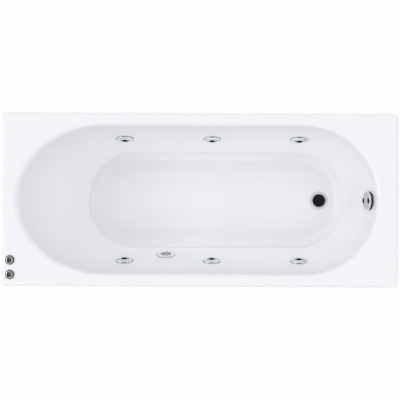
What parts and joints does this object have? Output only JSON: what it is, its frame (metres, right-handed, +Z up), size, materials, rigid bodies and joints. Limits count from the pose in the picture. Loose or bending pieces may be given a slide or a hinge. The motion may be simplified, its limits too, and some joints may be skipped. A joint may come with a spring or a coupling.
{
  "type": "jetted bathtub",
  "caption": "Built-in jetted bath: oval acrylic tub in an oblong rim, wall jets, suction grille, pop-up waste with turning overflow, deck controls, pump and pipes on a levelling frame",
  "frame": {"origin": "on the floor under the middle of the rim", "axes": "+X towards the waste end, -X towards the backrest, -Y the front long side with the deck controls, +Z up"},
  "size_m": [1.6, 0.7, 0.59],
  "materials": {
    "acrylic": "gloss white sanitary acrylic",
    "black_plastic": "fine satin",
    "cast_aluminium": "sand cast, satin",
    "chipboard": "raw board",
    "chrome": "polished",
    "clear_hose": "soft translucent",
    "grey_plastic": "satin moulded",
    "painted_steel": "powder coat",
    "seal_rubber": "matte",
    "timber": "planed",
    "white_pipe": "extruded pipe",
    "white_plastic": "satin moulded",
    "zinc_steel": "zinc plated"
  },
  "bodies": {
    "tub_body": {"tub_shell": "acrylic", "base_board": "chipboard", "batten_front": "timber", "batten_rear": "timber", "rail_front": "zinc_steel", "rail_rear": "zinc_steel", "cross_head": "zinc_steel", "cross_middle": "zinc_steel", "cross_foot": "zinc_steel", "foot_lock_nuts": "zinc_steel", "suction_body": "white_plastic", "suction_grille": "grey_plastic", "drain_flange": "chrome", "drain_body": "grey_plastic", "waste_trap": "white_plastic", "overflow_body": "grey_plastic", "overflow_hose": "grey_plastic", "button_body": "chrome", "regulator_body": "chrome", "pump_casing": "black_plastic", "motor_housing": "cast_aluminium", "fan_cowl": "black_plastic", "switch_box": "grey_plastic", "pump_plate": "zinc_steel", "pump_mounts": "seal_rubber", "suction_pipe": "white_pipe", "delivery_pipe": "white_pipe", "water_pipe_front": "white_pipe", "water_pipe_rear": "white_pipe", "air_pipe_front": "white_pipe", "air_pipe_rear": "white_pipe", "air_hose": "clear_hose", "jet_bodies_front": "grey_plastic", "jet_bodies_rear": "grey_plastic", "fitting_nuts": "black_plastic", "fitting_gaskets": "seal_rubber"},
    "foot_1": {"foot_1": "painted_steel"},
    "foot_2": {"foot_2": "painted_steel"},
    "foot_3": {"foot_3": "painted_steel"},
    "foot_4": {"foot_4": "painted_steel"},
    "jet_ring_1": {"jet_ring_1": "chrome"},
    "jet_nozzle_1": {"jet_nozzle_1": "chrome"},
    "jet_ring_2": {"jet_ring_2": "chrome"},
    "jet_nozzle_2": {"jet_nozzle_2": "chrome"},
    "jet_ring_3": {"jet_ring_3": "chrome"},
    "jet_nozzle_3": {"jet_nozzle_3": "chrome"},
    "jet_ring_4": {"jet_ring_4": "chrome"},
    "jet_nozzle_4": {"jet_nozzle_4": "chrome"},
    "jet_ring_5": {"jet_ring_5": "chrome"},
    "jet_nozzle_5": {"jet_nozzle_5": "chrome"},
    "jet_ring_6": {"jet_ring_6": "chrome"},
    "jet_nozzle_6": {"jet_nozzle_6": "chrome"},
    "overflow_knob": {"overflow_knob": "chrome"},
    "drain_plug": {"drain_plug": "black_plastic"},
    "button": {"button_cap": "chrome"},
    "regulator_knob": {"regulator_knob": "chrome"},
    "pump_rotor": {"motor_shaft": "zinc_steel", "pump_impeller": "white_plastic", "motor_fan": "black_plastic"}
  },
  "joints": [
    {"name": "foot_1_height", "type": "slide", "parent": "tub_body", "child": "foot_1", "axis": [0, 0, 1], "range_m": [-0.02, 0]},
    {"name": "foot_2_height", "type": "slide", "parent": "tub_body", "child": "foot_2", "axis": [0, 0, 1], "range_m": [-0.02, 0]},
    {"name": "foot_3_height", "type": "slide", "parent": "tub_body", "child": "foot_3", "axis": [0, 0, 1], "range_m": [-0.02, 0]},
    {"name": "foot_4_height", "type": "slide", "parent": "tub_body", "child": "foot_4", "axis": [0, 0, 1], "range_m": [-0.02, 0]},
    {"name": "jet_ring_1_turn", "type": "hinge", "parent": "tub_body", "child": "jet_ring_1", "pos_m": [-0.318, -0.25778, 0.415], "axis": [0, 0.9688, 0.2479], "range_deg": [0, 90]},
    {"name": "jet_nozzle_1_tilt", "type": "hinge", "parent": "jet_ring_1", "child": "jet_nozzle_1", "pos_m": [-0.318, -0.26359, 0.41351], "axis": [1, 0, 0], "range_deg": [-12, 12]},
    {"name": "jet_ring_2_turn", "type": "hinge", "parent": "tub_body", "child": "jet_ring_2", "pos_m": [0.051, -0.25778, 0.415], "axis": [0, 0.9688, 0.2479], "range_deg": [0, 90]},
    {"name": "jet_nozzle_2_tilt", "type": "hinge", "parent": "jet_ring_2", "child": "jet_nozzle_2", "pos_m": [0.051, -0.26359, 0.41351], "axis": [1, 0, 0], "range_deg": [-12, 12]},
    {"name": "jet_ring_3_turn", "type": "hinge", "parent": "tub_body", "child": "jet_ring_3", "pos_m": [0.42, -0.25778, 0.415], "axis": [0, 0.9688, 0.2479], "range_deg": [0, 90]},
    {"name": "jet_nozzle_3_tilt", "type": "hinge", "parent": "jet_ring_3", "child": "jet_nozzle_3", "pos_m": [0.42, -0.26359, 0.41351], "axis": [1, 0, 0], "range_deg": [-12, 12]},
    {"name": "jet_ring_4_turn", "type": "hinge", "parent": "tub_body", "child": "jet_ring_4", "pos_m": [-0.318, 0.25778, 0.415], "axis": [0, -0.9688, 0.2479], "range_deg": [0, 90]},
    {"name": "jet_nozzle_4_tilt", "type": "hinge", "parent": "jet_ring_4", "child": "jet_nozzle_4", "pos_m": [-0.318, 0.26359, 0.41351], "axis": [1, 0, 0], "range_deg": [-12, 12]},
    {"name": "jet_ring_5_turn", "type": "hinge", "parent": "tub_body", "child": "jet_ring_5", "pos_m": [0.051, 0.25778, 0.415], "axis": [0, -0.9688, 0.2479], "range_deg": [0, 90]},
    {"name": "jet_nozzle_5_tilt", "type": "hinge", "parent": "jet_ring_5", "child": "jet_nozzle_5", "pos_m": [0.051, 0.26359, 0.41351], "axis": [1, 0, 0], "range_deg": [-12, 12]},
    {"name": "jet_ring_6_turn", "type": "hinge", "parent": "tub_body", "child": "jet_ring_6", "pos_m": [0.42, 0.25778, 0.415], "axis": [0, -0.9688, 0.2479], "range_deg": [0, 90]},
    {"name": "jet_nozzle_6_tilt", "type": "hinge", "parent": "jet_ring_6", "child": "jet_nozzle_6", "pos_m": [0.42, 0.26359, 0.41351], "axis": [1, 0, 0], "range_deg": [-12, 12]},
    {"name": "knob_turn", "type": "hinge", "parent": "tub_body", "child": "overflow_knob", "pos_m": [0.70212, 0, 0.508], "axis": [-0.9765, 0, 0.2154], "range_deg": [0, 90]},
    {"name": "plug_lift", "type": "slide", "parent": "tub_body", "child": "drain_plug", "axis": [0, 0, 1], "range_m": [0, 0.01]},
    {"name": "button_press", "type": "slide", "parent": "tub_body", "child": "button", "axis": [0, 0, -1], "range_m": [0, 0.004], "stiffness_N_per_m": 800},
    {"name": "regulator_turn", "type": "hinge", "parent": "tub_body", "child": "regulator_knob", "pos_m": [-0.763, -0.303, 0.585], "axis": [0, 0, 1], "range_deg": [0, 180]},
    {"name": "pump_spin", "type": "hinge", "parent": "tub_body", "child": "pump_rotor", "pos_m": [-0.69, 0, 0.245], "axis": [0, 1, 0], "continuous": true}
  ],
  "couplings": [
    {"joint": "plug_lift", "follows": "knob_turn", "m_per_rad": 0.0063662}
  ]
}
